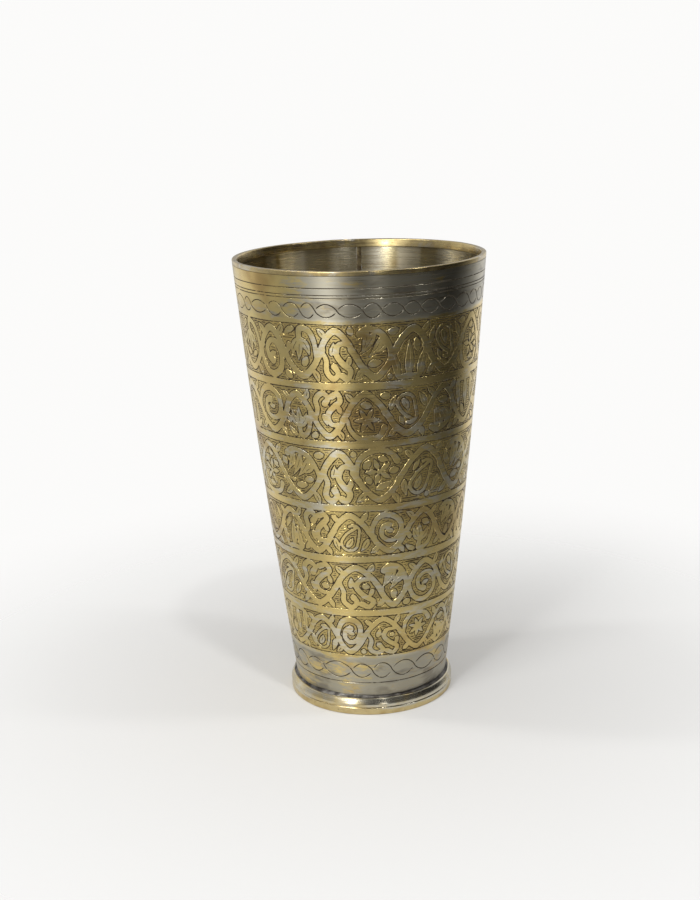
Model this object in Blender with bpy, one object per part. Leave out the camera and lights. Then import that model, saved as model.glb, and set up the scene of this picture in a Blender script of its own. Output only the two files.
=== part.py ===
"""A tapered brass drinking tumbler, of the kind used for lassi, made as a metalworker makes it.

Seven pieces: a rolled sheet wall, the braze that closes its side seam, a hoop soldered on the mouth,
a pressed base pan, a turned foot ring, and the two solder fillets that hold the bottom together.
The tumbler stands on z = 0 with its axis on Z. The side seam is at the back, at +Y. Metres.
"""

import math

import bmesh
import bpy
from mathutils import Vector

MM = 0.001

# Driving dimensions.
TOTAL_HEIGHT = 165 * MM
RIM_RADIUS = 45.2 * MM
WALL_THICKNESS = 1.0 * MM
WALL_FOOT_RADIUS = 28.4 * MM  # the wall's outside where it comes out of the foot ring
WALL_BULGE = 1.0 * MM  # how far the wall's side stands out of a straight cone, halfway up
FOOT_HEIGHT = 6.1 * MM
FOOT_RADIUS = 31.0 * MM
JOINT_GAP = 0.3 * MM  # the space that solder fills between two pieces

# Rim hoop: an L in section, which caps the wall and lines the top of the mouth.
HOOP_FACE = 1.4 * MM
HOOP_LEG_DEPTH = 3.0 * MM
HOOP_LEG_THICKNESS = 0.7 * MM
HOOP_ROUND = 0.35 * MM

# Foot ring.
LEDGE_THICKNESS = 1.5 * MM
LEDGE_INNER_RADIUS = 24.5 * MM
FOOT_TOP_RADIUS = 29.9 * MM
FOOT_BAND_RADIUS = 30.7 * MM
FOOT_BAND_TOP = 2.6 * MM
FOOT_CHAMFER = 0.4 * MM

# Base pan: an inverted dish, whose flange stands on the foot ring's ledge.
PAN_THICKNESS = 1.0 * MM
PAN_TOP = 6.5 * MM
PAN_CORNER = 1.2 * MM
PAN_DOME = 1.0 * MM

# Solder fillets.
BASE_FILLET = 2.0 * MM
FOOT_FILLET_WIDTH = 0.85 * MM
FOOT_FILLET_HEIGHT = 1.1 * MM

# Lines scribed round the wall on the lathe.
SCRIBED_LINES = (12.1 * MM, 156.4 * MM, 159.2 * MM)
LINE_HALF_WIDTH = 0.25 * MM
LINE_DEPTH = 0.2 * MM

# Side seam, as angles about the axis.
SEAM_AT = math.radians(90)
WALL_HALF_GAP = math.radians(1.6)
BRAZE_HALF_ANGLE = math.radians(0.95)

WALL_BOTTOM = LEDGE_THICKNESS + JOINT_GAP
WALL_TOP = TOTAL_HEIGHT - HOOP_FACE - JOINT_GAP
SEGMENTS = 72
WALL_ROWS = 7
ARC_STEPS = 4


def wall_outside(z):
    """Radius of the wall's outer face at height z: a cone with a slight outward bulge."""
    t = (z - FOOT_HEIGHT) / (TOTAL_HEIGHT - FOOT_HEIGHT)
    cone = WALL_FOOT_RADIUS + (RIM_RADIUS - WALL_FOOT_RADIUS) * t
    return cone + 4 * WALL_BULGE * t * (1 - t)


def wall_inside(z):
    return wall_outside(z) - WALL_THICKNESS


def heights(low, high, rows):
    return [low + (high - low) * i / rows for i in range(rows + 1)]


def arc(centre, radius, start, end, steps=ARC_STEPS):
    """Points (r, z) on an arc about centre, from one angle in degrees to another."""
    angles = [math.radians(start + (end - start) * i / steps) for i in range(steps + 1)]
    return [(centre[0] + radius * math.cos(a), centre[1] + radius * math.sin(a)) for a in angles]


def metal(name, colour, roughness):
    material = bpy.data.materials.new(name)
    material.use_nodes = True
    shader = material.node_tree.nodes["Principled BSDF"]
    shader.inputs["Base Color"].default_value = (*colour, 1)
    shader.inputs["Roughness"].default_value = roughness
    shader.inputs["Metallic"].default_value = 1.0
    return material


def spun(name, profile, material, start=0.0, sweep=2 * math.pi, segments=SEGMENTS):
    """A solid made by turning a closed outline of (r, z) points about Z, with end faces if it stops short."""
    mesh = bmesh.new()
    first = mesh.verts.new((profile[0][0] * math.cos(start), profile[0][0] * math.sin(start), profile[0][1]))
    loop = [first] + [
        mesh.verts.new((r * math.cos(start), r * math.sin(start), z)) for r, z in profile[1:]
    ]
    edges = [mesh.edges.new((a, b)) for a, b in zip(loop, loop[1:] + loop[:1])]
    whole = sweep >= 2 * math.pi
    turned = bmesh.ops.spin(
        mesh, geom=loop + edges, cent=Vector(), axis=Vector((0, 0, 1)), angle=sweep,
        steps=segments, use_merge=whole, use_duplicate=False,
    )
    if not whole:
        last = [e for e in turned["geom_last"] if isinstance(e, bmesh.types.BMEdge)]
        bmesh.ops.edgeloop_fill(mesh, edges=edges)
        bmesh.ops.edgeloop_fill(mesh, edges=last)
    bmesh.ops.remove_doubles(mesh, verts=mesh.verts, dist=1e-6)
    bmesh.ops.recalc_face_normals(mesh, faces=mesh.faces)
    data = bpy.data.meshes.new(name)
    mesh.to_mesh(data)
    mesh.free()
    data.materials.append(material)
    data.shade_smooth()
    data.set_sharp_from_angle(angle=math.radians(30))
    piece = bpy.data.objects.new(name, data)
    bpy.context.scene.collection.objects.link(piece)
    return piece


def scribed_side():
    """The wall's outer face from bottom to top, with a V cut at each scribed line."""
    plain = [
        z for z in heights(WALL_BOTTOM, WALL_TOP, WALL_ROWS)
        if all(abs(z - line) > 4 * LINE_HALF_WIDTH for line in SCRIBED_LINES)
    ]
    side = [(wall_outside(z), z) for z in plain]
    for line in SCRIBED_LINES:
        for offset, depth in ((-LINE_HALF_WIDTH, 0), (0, LINE_DEPTH), (LINE_HALF_WIDTH, 0)):
            side.append((wall_outside(line + offset) - depth, line + offset))
    return sorted(side, key=lambda point: point[1])


def make_body_wall(brass):
    inside = [(wall_inside(z), z) for z in heights(WALL_BOTTOM, WALL_TOP, WALL_ROWS)]
    spun(
        "body_wall", scribed_side() + inside[::-1], brass,
        start=SEAM_AT + WALL_HALF_GAP, sweep=2 * math.pi - 2 * WALL_HALF_GAP,
    )


def make_side_seam_braze(braze):
    rows = heights(WALL_BOTTOM, WALL_TOP, WALL_ROWS)
    outline = [(wall_outside(z), z) for z in rows] + [(wall_inside(z), z) for z in reversed(rows)]
    spun(
        "side_seam_braze", outline, braze,
        start=SEAM_AT - BRAZE_HALF_ANGLE, sweep=2 * BRAZE_HALF_ANGLE, segments=2,
    )


def make_rim_hoop(brass):
    """Its face stands flush on the wall's top edge, and its leg lines the mouth."""
    face_bottom = TOTAL_HEIGHT - HOOP_FACE
    leg_bottom = TOTAL_HEIGHT - HOOP_LEG_DEPTH
    bore = wall_inside(leg_bottom) - JOINT_GAP - HOOP_LEG_THICKNESS
    top = TOTAL_HEIGHT - HOOP_ROUND
    outline = [(wall_outside(face_bottom), face_bottom)]
    outline += arc((RIM_RADIUS - HOOP_ROUND, top), HOOP_ROUND, 0, 90)
    outline += arc((bore + HOOP_ROUND, top), HOOP_ROUND, 90, 180)
    outline += [(bore, leg_bottom)]
    outline += [(wall_inside(leg_bottom) - JOINT_GAP, leg_bottom)]
    outline += [(wall_inside(face_bottom) - JOINT_GAP, face_bottom)]
    spun("rim_hoop", outline, brass)


def make_foot_ring(brass):
    """Outside: a plain lower band and a rounded upper bead. Inside: a bore for the wall, and its ledge."""
    bead_low, bead_high = FOOT_BAND_TOP + 0.2 * MM, FOOT_HEIGHT - 0.2 * MM
    bead = []
    for i in range(ARC_STEPS + 2):
        t = i / (ARC_STEPS + 1)
        straight = FOOT_BAND_RADIUS + (FOOT_TOP_RADIUS + 0.2 * MM - FOOT_BAND_RADIUS) * t
        crown = (FOOT_RADIUS - FOOT_BAND_RADIUS + 0.3 * MM) * math.sin(math.pi * t)
        bead.append((min(straight + crown, FOOT_RADIUS), bead_low + (bead_high - bead_low) * t))
    bore_top = wall_outside(FOOT_HEIGHT) + JOINT_GAP
    bore_bottom = wall_outside(LEDGE_THICKNESS) + JOINT_GAP
    outline = [
        (LEDGE_INNER_RADIUS + FOOT_CHAMFER, 0),
        (FOOT_BAND_RADIUS - FOOT_CHAMFER, 0),
        (FOOT_BAND_RADIUS, FOOT_CHAMFER),
        (FOOT_BAND_RADIUS, FOOT_BAND_TOP),
        (FOOT_BAND_RADIUS - 0.25 * MM, FOOT_BAND_TOP + 0.1 * MM),
        *bead,
        (FOOT_TOP_RADIUS, FOOT_HEIGHT),
        (bore_top, FOOT_HEIGHT),
        (bore_bottom, LEDGE_THICKNESS),
        (LEDGE_INNER_RADIUS, LEDGE_THICKNESS),
        (LEDGE_INNER_RADIUS, FOOT_CHAMFER),
    ]
    spun("foot_ring", outline, brass)


def make_base_plate(brass):
    """A pressed pan upside down: a domed floor with a rounded corner, and a flange that fits in the wall."""
    flange_out = wall_inside(WALL_BOTTOM) - JOINT_GAP
    side = wall_inside(PAN_TOP) - JOINT_GAP
    flange_in = flange_out - PAN_THICKNESS
    corner = (side - PAN_CORNER, PAN_TOP - PAN_CORNER)
    floor_edge = corner[0]

    def floor(height):
        """The domed floor, from its edge in to the axis."""
        steps = [floor_edge * (1 - i / ARC_STEPS) for i in range(ARC_STEPS + 1)]
        return [(max(r, 0.0), height + PAN_DOME * (1 - (r / floor_edge) ** 2)) for r in steps]

    outline = [(flange_in, WALL_BOTTOM), (flange_out, WALL_BOTTOM)]
    outline += arc(corner, PAN_CORNER, 0, 90)[:-1]
    outline += floor(PAN_TOP)
    outline += floor(PAN_TOP - PAN_THICKNESS)[::-1]
    outline += [(side - PAN_THICKNESS, PAN_TOP - PAN_CORNER)]
    spun("base_plate", outline, brass)


def make_base_solder(solder):
    """The fillet that seals the corner between the wall and the floor, on the inside."""
    low = PAN_TOP + JOINT_GAP
    foot = wall_inside(low) - JOINT_GAP
    head = wall_inside(low + BASE_FILLET) - JOINT_GAP
    hollow = arc((head - BASE_FILLET, low + BASE_FILLET), BASE_FILLET - 0.2 * MM, 0, -90)
    rim = [(foot, low), (head, low + BASE_FILLET)]
    spun("base_solder", rim + hollow + [(head - BASE_FILLET, low)], solder)


def make_foot_solder(solder):
    """The fillet in the corner between the wall and the top of the foot ring, on the outside."""
    low = FOOT_HEIGHT + JOINT_GAP
    high = low + FOOT_FILLET_HEIGHT
    root = wall_outside(low) + JOINT_GAP
    crest = wall_outside(high) + JOINT_GAP
    outline = [
        (root, low),
        (root + FOOT_FILLET_WIDTH, low),
        (root + 0.75 * FOOT_FILLET_WIDTH, low + 0.35 * FOOT_FILLET_HEIGHT),
        (crest + 0.35 * FOOT_FILLET_WIDTH, low + 0.8 * FOOT_FILLET_HEIGHT),
        (crest + 0.1 * FOOT_FILLET_WIDTH, high),
        (crest, high),
    ]
    spun("foot_solder", outline, solder)


def main():
    for obj in list(bpy.data.objects):
        bpy.data.objects.remove(obj)
    tinned_brass = metal("tinned_brass", (0.62, 0.55, 0.36), 0.32)
    bare_brass = metal("bare_brass", (0.70, 0.50, 0.20), 0.28)
    solder = metal("solder", (0.42, 0.42, 0.42), 0.45)
    braze = metal("braze", (0.66, 0.56, 0.30), 0.38)
    make_body_wall(tinned_brass)
    make_side_seam_braze(braze)
    make_rim_hoop(bare_brass)
    make_foot_ring(tinned_brass)
    make_base_plate(tinned_brass)
    make_base_solder(solder)
    make_foot_solder(solder)


main()
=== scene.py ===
"""Looks for the engraved brass tumbler: its ornament cut into real geometry, its worn tin, its light.

The wall is cut as an engraver cuts it. Each ornament band is a running vine, drawn as strokes in flat
millimetres, and turned into a distance field. Contours of that field give the outline grooves, graver
strokes hatch the ground, and a constrained triangulation wraps both round the tumbler.
"""

import math

import bmesh
import bpy
import numpy as np
from mathutils import Matrix, Vector
from mathutils.geometry import delaunay_2d_cdt


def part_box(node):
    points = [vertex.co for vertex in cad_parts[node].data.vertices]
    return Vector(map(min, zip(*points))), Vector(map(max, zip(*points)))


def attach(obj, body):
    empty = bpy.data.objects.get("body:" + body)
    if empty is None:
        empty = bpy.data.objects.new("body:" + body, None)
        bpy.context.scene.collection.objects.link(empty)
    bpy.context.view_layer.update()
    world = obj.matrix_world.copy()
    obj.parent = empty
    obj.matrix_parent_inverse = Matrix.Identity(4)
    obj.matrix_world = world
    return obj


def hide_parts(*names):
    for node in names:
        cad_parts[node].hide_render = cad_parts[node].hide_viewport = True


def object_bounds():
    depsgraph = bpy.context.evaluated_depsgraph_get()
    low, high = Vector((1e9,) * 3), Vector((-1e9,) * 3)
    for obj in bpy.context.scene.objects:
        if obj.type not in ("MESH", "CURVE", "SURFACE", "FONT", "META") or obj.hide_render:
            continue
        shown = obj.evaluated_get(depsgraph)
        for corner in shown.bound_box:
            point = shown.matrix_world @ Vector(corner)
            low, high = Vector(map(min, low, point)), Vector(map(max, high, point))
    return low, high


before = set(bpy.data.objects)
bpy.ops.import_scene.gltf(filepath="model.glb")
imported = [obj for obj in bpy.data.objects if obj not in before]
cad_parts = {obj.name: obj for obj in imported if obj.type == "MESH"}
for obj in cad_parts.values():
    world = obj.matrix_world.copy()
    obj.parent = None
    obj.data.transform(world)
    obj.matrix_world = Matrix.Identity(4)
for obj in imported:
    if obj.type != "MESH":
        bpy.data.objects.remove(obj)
cad_low, cad_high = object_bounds()

MM = 0.001


def box_mm(node):
    """A node's lowest and highest corners, in millimetres."""
    low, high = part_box(node)
    return low / MM, high / MM


# Sizes from the frame, in millimetres. The wall's curve is the one that the CAD turns.
HEIGHT = cad_high.z / MM
RIM_RADIUS = box_mm("rim_hoop")[1].x
HOOP_BOTTOM = box_mm("rim_hoop")[0].z
FOOT_TOP = box_mm("foot_ring")[1].z
FOOT_RADIUS = box_mm("foot_ring")[1].x
WALL_BOTTOM, WALL_TOP = box_mm("body_wall")[0].z, box_mm("body_wall")[1].z
WALL_THICKNESS = 1.0
WALL_FOOT_RADIUS = 28.4
WALL_BULGE = 1.0
WALL_HALF_GAP = math.radians(1.15)
FOOT_OPENING = 24.5
LEDGE = 1.5
PLATE_EDGE = 6.5
PLATE_THICKNESS = 1.0
PLATE_GAP = 0.08
PLATE_BEND = 1.3
SEAM_AT = math.radians(90)

# Heights of the six ornament bands, and of the plain strips' cuts.
BANDS = ((23.3, 39.5), (42.0, 60.7), (63.1, 80.3), (82.6, 103.9), (106.1, 124.7), (127.1, 147.3))
LOWER_BRAID = (14.1, 20.3)
UPPER_BRAID = (149.4, 154.2)
TURNED_LINES = (12.1, 155.9, 156.9, 159.3)

# Cuts.
GROOVE_WIDTH = 0.46
GROOVE_DEPTH = 0.17
GROUND_DEPTH = 0.035
HATCH_DEPTH = 0.15
HATCH_SPACING = 0.84
GRID = 0.2
COLUMNS = 144


def wall_outside(z):
    """The wall's outer radius at height z."""
    t = (z - FOOT_TOP) / (HEIGHT - FOOT_TOP)
    return WALL_FOOT_RADIUS + (RIM_RADIUS - WALL_FOOT_RADIUS) * t + 4 * WALL_BULGE * t * (1 - t)


def hand_made(angle, z):
    """How far the sheet wanders from a true circle, in millimetres."""
    return (
        0.10 * np.sin(2 * angle + 0.7 + 0.006 * z)
        + 0.05 * np.sin(3 * angle + 0.03 * z)
        + 0.03 * np.sin(5 * angle + 2.0 - 0.05 * z)
        + 0.02 * np.sin(0.21 * z + 2 * angle)
    )


# ---------------------------------------------------------------- flat drawing


def smooth_path(points, steps=5):
    """A Catmull-Rom curve through points of (x, y, radius)."""
    p = np.array(points, float)
    p = np.vstack([2 * p[0] - p[1], p, 2 * p[-1] - p[-2]])
    out = []
    for i in range(1, len(p) - 2):
        for t in np.arange(steps) / steps:
            out.append(
                0.5
                * (
                    2 * p[i]
                    + (p[i + 1] - p[i - 1]) * t
                    + (2 * p[i - 1] - 5 * p[i] + 4 * p[i + 1] - p[i + 2]) * t * t
                    + (3 * p[i] - p[i - 1] - 3 * p[i + 1] + p[i + 2]) * t**3
                )
            )
    out.append(p[-2])
    out = np.array(out)
    out[:, 2] = np.maximum(out[:, 2], 0.12)
    return out


def leaf(x, y, angle, length, width, bend=0.0):
    """A pointed leaf from its stalk at (x, y), as a stroke whose radius swells and closes."""
    t = np.linspace(0, 1, 11)
    turn = angle + bend * (t - 0.3)
    step = length / 10
    along = np.cumsum(np.stack([np.cos(turn), np.sin(turn)], 1) * step, axis=0)
    along -= along[0]
    swell = np.sin(np.pi * t**0.75) ** 0.9 * width / 2
    return np.column_stack([x + along[:, 0], y + along[:, 1], np.maximum(swell, 0.14)])


def rosette(x, y, size, petals, turn=0.0):
    """Petals round a button."""
    drawn = [
        leaf(
            x + 0.26 * size * math.cos(a), y + 0.26 * size * math.sin(a), a, 0.78 * size, 0.36 * size
        )
        for a in (turn + 2 * math.pi * i / petals for i in range(petals))
    ]
    return drawn + [np.array([(x, y, 0.17 * size), (x + 0.01, y, 0.17 * size)])]


class Field:
    """A distance field over one band: negative on the ornament, positive on the ground."""

    def __init__(self, width, low, high):
        self.width, self.low, self.high = width, low, high
        self.nx = int(round(width / GRID))
        self.ny = int(round((high - low) / GRID))
        self.x = np.linspace(0, width, self.nx + 1)
        self.y = np.linspace(low, high, self.ny + 1)
        self.value = np.full((self.nx + 1, self.ny + 1), 9.0)

    def window(self, low, high):
        i0, i1 = np.searchsorted(self.x, (low[0], high[0]))
        j0, j1 = np.searchsorted(self.y, (low[1], high[1]))
        return slice(max(i0 - 1, 0), i1 + 1), slice(max(j0 - 1, 0), j1 + 1)

    def distance(self, path, reach=3.2):
        """The window round a stroke, and the distance to the stroke's edge in it."""
        margin = path[:, 2].max() + reach
        where = self.window(path[:, :2].min(0) - margin, path[:, :2].max(0) + margin)
        gx, gy = np.meshgrid(self.x[where[0]], self.y[where[1]], indexing="ij")
        nearest = np.full(gx.shape, 9.0)
        for (ax, ay, ar), (bx, by, br) in zip(path[:-1], path[1:]):
            dx, dy = bx - ax, by - ay
            t = np.clip(((gx - ax) * dx + (gy - ay) * dy) / max(dx * dx + dy * dy, 1e-9), 0, 1)
            gap = np.hypot(gx - ax - t * dx, gy - ay - t * dy) - (ar + t * (br - ar))
            np.minimum(nearest, gap, out=nearest)
        return where, nearest

    def add(self, path, blend=0.35):
        """Joins a stroke to the ornament, with a small fillet where they meet."""
        where, gap = self.distance(path)
        old = self.value[where]
        mix = np.clip(0.5 + 0.5 * (old - gap) / blend, 0, 1)
        self.value[where] = old * (1 - mix) + gap * mix - blend * mix * (1 - mix)

    def add_hollow(self, path, ribbon):
        """Joins a closed form drawn as a ribbon, with ground showing inside it."""
        where, gap = self.distance(path)
        self.value[where] = np.minimum(self.value[where], np.maximum(gap, -gap - ribbon))

    def at(self, x, y):
        """The field at any points, by bilinear interpolation."""
        fx = np.clip(np.asarray(x) / self.width * self.nx, 0, self.nx - 1e-6)
        fy = np.clip((np.asarray(y) - self.low) / (self.high - self.low) * self.ny, 0, self.ny - 1e-6)
        i, j = fx.astype(int), fy.astype(int)
        u, v = fx - i, fy - j
        f = self.value
        return (
            f[i, j] * (1 - u) * (1 - v)
            + f[i + 1, j] * u * (1 - v)
            + f[i, j + 1] * (1 - u) * v
            + f[i + 1, j + 1] * u * v
        )


# ---------------------------------------------------------------- the vine


def vine_cell(x, middle, width, scale, up, kind, rng):
    """One half wave of the running vine, in the band's millimetres: strokes, hollow forms, and veins.

    It is drawn 14 wide and 20 high. The stem arches over the cell's open side, and the rest grows there.
    """
    lean = rng.uniform(-0.08, 0.08)
    flow = rng.uniform(0.86, 1.1)

    def spot(px, py):
        return x + (px + lean * py) / 14 * width, middle + up * py * scale

    def place(points, thick=1.0, loose=0.3):
        moved = []
        for px, py, r in points:
            sx, sy = spot(px + rng.uniform(-loose, loose), py + rng.uniform(-loose, loose))
            moved.append((sx, sy, r * thick * scale**0.7))
        return smooth_path(moved)

    def leaf_at(px, py, turn, length, wide, bend=0.0, vein=True):
        turn += rng.uniform(-8, 8)
        drawn = leaf(*spot(px, py), math.radians(turn) * up, length * scale, wide * scale**0.7, bend * up)
        strokes.append(drawn)
        if vein:
            veins.append(drawn[2:9])

    strokes, hollow, veins = [], [], []
    stem = 0.98 * flow
    strokes.append(
        smooth_path([(*spot(px, py), r * scale**0.7) for px, py, r in (
            (-1.0, -1.3, stem), (0, 0, stem), (2.7, 4.6, stem),
            (7, 8.1 + rng.uniform(-0.5, 0.3), 1.15 * stem),
            (11.3, 4.6, stem), (14, 0, stem), (15.0, -1.3, stem))])
    )
    if kind == "spiral":
        strokes.append(place([(0.3, 0.4, 0.7), (0.9, -3.6, 0.85), (3.3, -7.3, 1.0), (7.4, -8.3, 1.1),
                              (11.0, -6.0, 1.0), (12.0, -1.9, 0.9), (10.2, 2.0, 0.9), (6.9, 3.1, 0.85),
                              (4.2, 0.7, 0.85), (4.5, -2.6, 0.9), (6.8, -3.9, 1.25)], flow, 0.2))
        leaf_at(8.6, -1.0, 190, 2.8, 1.7)
    elif kind == "lancets":
        for px, py, turn, length, wide in ((2.6, -8.8, 96, 10.5, 2.6), (6.7, -8.9, 88, 12.5, 3.0),
                                           (10.8, -8.8, 84, 10.0, 2.6)):
            leaf_at(px, py, turn, length, wide, rng.uniform(-0.35, 0.35))
        strokes.append(place([(1.2, -6.6, 0.5), (2.8, -8.6, 0.8), (6.8, -8.7, 0.9), (11, -8.5, 0.8),
                              (12.8, -6.4, 0.5)], flow))
    elif kind == "fronds":
        strokes.append(place([(13.2, 1.2, 0.7), (12.2, -3.4, 0.85), (9.4, -7.2, 0.95), (5.2, -8.5, 0.9),
                              (2.6, -6.6, 1.2)], flow))
        for px, py, turn, length in ((11.6, -3.6, 142, 5.4), (10.2, -5.8, 118, 8.2), (7.6, -7.4, 108, 8.8),
                                     (5.0, -7.6, 96, 7.4)):
            leaf_at(px, py, turn, length, 2.2, 0.55)
    elif kind == "rosette":
        strokes.append(place([(0.6, -1.4, 0.6), (1.0, -5.0, 0.8), (3.4, -8.3, 0.95), (7.2, -8.9, 0.9),
                              (10.8, -7.8, 0.85), (12.6, -5.0, 1.15)], flow))
        strokes.extend(rosette(*spot(7.0, -1.7), 4.3 * scale, int(rng.integers(5, 8)), rng.uniform(0, 1)))
    elif kind == "paisley":
        body = place([(6.0, -4.0, 3.7), (7.0, -1.6, 3.1), (8.3, 0.6, 2.1), (9.2, 2.3, 1.2), (8.0, 3.8, 0.6),
                      (6.6, 3.6, 0.5)], 1.0, 0.15)
        hollow.append((body, 1.0 * scale))
        leaf_at(4.9, -5.4, 55, 4.6, 2.2, 0.5)
        leaf_at(12.9, -2.2, 252, 5.8, 2.2, -0.4)
        leaf_at(1.0, -2.0, 280, 5.6, 2.1, 0.4)
    elif kind == "tulip":
        strokes.append(place([(12.8, 1.6, 0.6), (12.4, -3.6, 0.8), (10.2, -7.6, 0.9), (6.8, -8.4, 0.95),
                              (6.6, -4.6, 0.9)], flow))
        for turn, length, bend in ((136, 6.4, -0.9), (90, 7.2, 0.0), (44, 6.4, 0.9)):
            leaf_at(6.7, -4.8, turn, length, 2.5, bend)
        leaf_at(4.6, -8.4, 152, 4.6, 2.0, -0.7)
        leaf_at(2.0, -3.4, 100, 3.4, 1.8, 0.3)
    else:
        strokes.append(place([(1.2, 1.4, 0.6), (2.4, -2.4, 0.85), (1.8, -6.2, 0.95), (4.2, -8.6, 0.95),
                              (6.6, -6.8, 0.85), (5.3, -4.6, 1.15)], flow))
        strokes.append(place([(11.6, 3.2, 0.6), (8.2, 2.9, 0.85), (7.0, -0.2, 0.95), (9.0, -3.6, 1.0),
                              (11.8, -6.0, 0.95), (10.6, -8.6, 0.85), (8.4, -7.6, 1.15)], flow))
        leaf_at(4.6, -0.4, 70, 4.2, 2.0, 0.4)
        leaf_at(12.2, -1.2, 250, 3.4, 1.8, 0.3)
    for px, py, turn in ((2.4, 5.6, 122), (11.2, 6.2, 52)):
        if rng.random() < 0.9:
            leaf_at(px, py, turn, rng.uniform(3.2, 4.4), 2.1, 0.8 * rng.uniform(0.4, 1.2))
    return strokes, hollow, veins


def fill_space(field, rng, least=1.75, most=240):
    """Drops leaves and berries into the widest bare patches, keeping a strip of ground round each."""
    margin = 0.95
    for _ in range(most):
        i, j = np.unravel_index(np.argmax(field.value), field.value.shape)
        room = field.value[i, j]
        if room < least:
            return
        x, y = field.x[i], field.y[j]
        best = None
        for turn in np.linspace(0, math.pi, 8, endpoint=False) + rng.uniform(0, 0.3):
            for length in (6.0, 4.4, 3.2, 2.3):
                s = np.linspace(-length / 2, length / 2, 11)
                px, py = x + s * math.cos(turn), y + s * math.sin(turn)
                clear = field.at(px, py) - margin
                if px.min() > 0.3 and px.max() < field.width - 0.3 and clear.min() > 0.1:
                    swell = np.sin(np.pi * np.linspace(0.04, 0.97, 11) ** 0.8) * 1.2
                    radius = np.minimum(swell, clear)
                    if best is None or radius.sum() * length > best[0]:
                        best = (radius.sum() * length, np.column_stack([px, py, np.maximum(radius, 0.13)]))
        if best is None:
            size = max(room - margin, 0.42)
            field.add(np.array([(x, y, size), (x + 0.01, y, size)]), blend=0.05)
        else:
            field.add(best[1], blend=0.05)


def vine_band(width, low, high, seed):
    """A band's distance field, with its wavy border lines, and the veins to cut in its leaves."""
    rng = np.random.default_rng(seed)
    field = Field(width, low - 1.1, high + 1.1)
    scale = (high - low) / 20.0
    count = max(2 * int(round(width / (27.5 * scale**0.6))), 2)
    sizes = rng.uniform(0.82, 1.2, count)
    sizes *= width / sizes.sum()
    kinds = ["spiral", "lancets", "fronds", "rosette", "paisley", "tulip", "scrolls"]
    queue = []
    x, up, veins = 0.0, 1 if seed % 2 else -1, []
    for size in sizes:
        if len(queue) < 2:
            queue += list(rng.permutation(kinds))
        strokes, hollow, lines = vine_cell(x, (low + high) / 2, size, scale, up, queue.pop(0), rng)
        for path, ribbon in hollow:
            field.add_hollow(path, ribbon)
        for path in strokes:
            field.add(path, 0.2)
        veins += lines
        x, up = x + size, -up
    gx, gy = np.meshgrid(field.x, field.y, indexing="ij")
    sway = [0.16 * np.sin(gx * k + p) for k, p in zip((0.055, 0.11, 0.19), rng.uniform(0, 6, 3))]
    border = np.minimum(gy - (low + sway[0] + 0.5 * sway[2]), (high + sway[1] - 0.5 * sway[2]) - gy)
    field.value = np.minimum(field.value, border)
    fill_space(field, rng)
    unsteady = sum(
        size * np.sin(gx * kx + gy * ky + p)
        for size, kx, ky, p in zip((0.03, 0.03, 0.025, 0.025), (4.1, -2.9, 6.3, 5.2), (2.3, 4.7, -3.9, 6.1),
                                   rng.uniform(0, 6, 4))
    )
    field.value = field.value + unsteady
    return field, veins, rng


# ---------------------------------------------------------------- contours


def crossings(field, level):
    """Contour pieces of the field: points by id, and pairs of ids, by marching squares."""
    f = field.value - level
    f = np.where(np.abs(f) < 1e-7, 1e-7, f)
    above = f > 0
    points, pairs = {}, []

    def along_x(i, j):
        key = (0, i, j)
        if key not in points:
            t = f[i, j] / (f[i, j] - f[i + 1, j])
            points[key] = (field.x[i] + t * (field.x[i + 1] - field.x[i]), field.y[j])
        return key

    def along_y(i, j):
        key = (1, i, j)
        if key not in points:
            t = f[i, j] / (f[i, j] - f[i, j + 1])
            points[key] = (field.x[i], field.y[j] + t * (field.y[j + 1] - field.y[j]))
        return key

    corners = above[:-1, :-1].astype(int) + 2 * above[1:, :-1] + 4 * above[1:, 1:] + 8 * above[:-1, 1:]
    for i, j in zip(*np.nonzero((corners > 0) & (corners < 15))):
        low, right = lambda: along_x(i, j), lambda: along_y(i + 1, j)
        high, left = lambda: along_x(i, j + 1), lambda: along_y(i, j)
        case = corners[i, j]
        if case in (5, 10):
            centre = f[i : i + 2, j : j + 2].mean() > 0
            if (case == 5) == centre:
                pairs += [(left(), high()), (low(), right())]
            else:
                pairs += [(left(), low()), (high(), right())]
            continue
        ends = {1: (left, low), 2: (low, right), 4: (right, high), 8: (high, left), 3: (left, right),
                6: (low, high), 7: (left, high)}
        first, second = ends[case if case in ends else 15 - case]
        pairs.append((first(), second()))
    return points, pairs


def chains(points, pairs):
    """The contour pieces joined into runs of points, with whether each closes on itself."""
    near = {}
    for a, b in pairs:
        near.setdefault(a, []).append(b)
        near.setdefault(b, []).append(a)
    seen, runs = set(), []
    starts = [k for k, n in near.items() if len(n) == 1] + list(near)
    for start in starts:
        if start in seen:
            continue
        run, here = [start], start
        seen.add(start)
        while True:
            onward = [k for k in near[here] if k not in seen]
            if not onward:
                break
            here = onward[0]
            seen.add(here)
            run.append(here)
        closed = len(run) > 2 and start in near[here] and len(near[start]) == 2
        runs.append((np.array([points[k] for k in run]), closed))
    return runs


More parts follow.
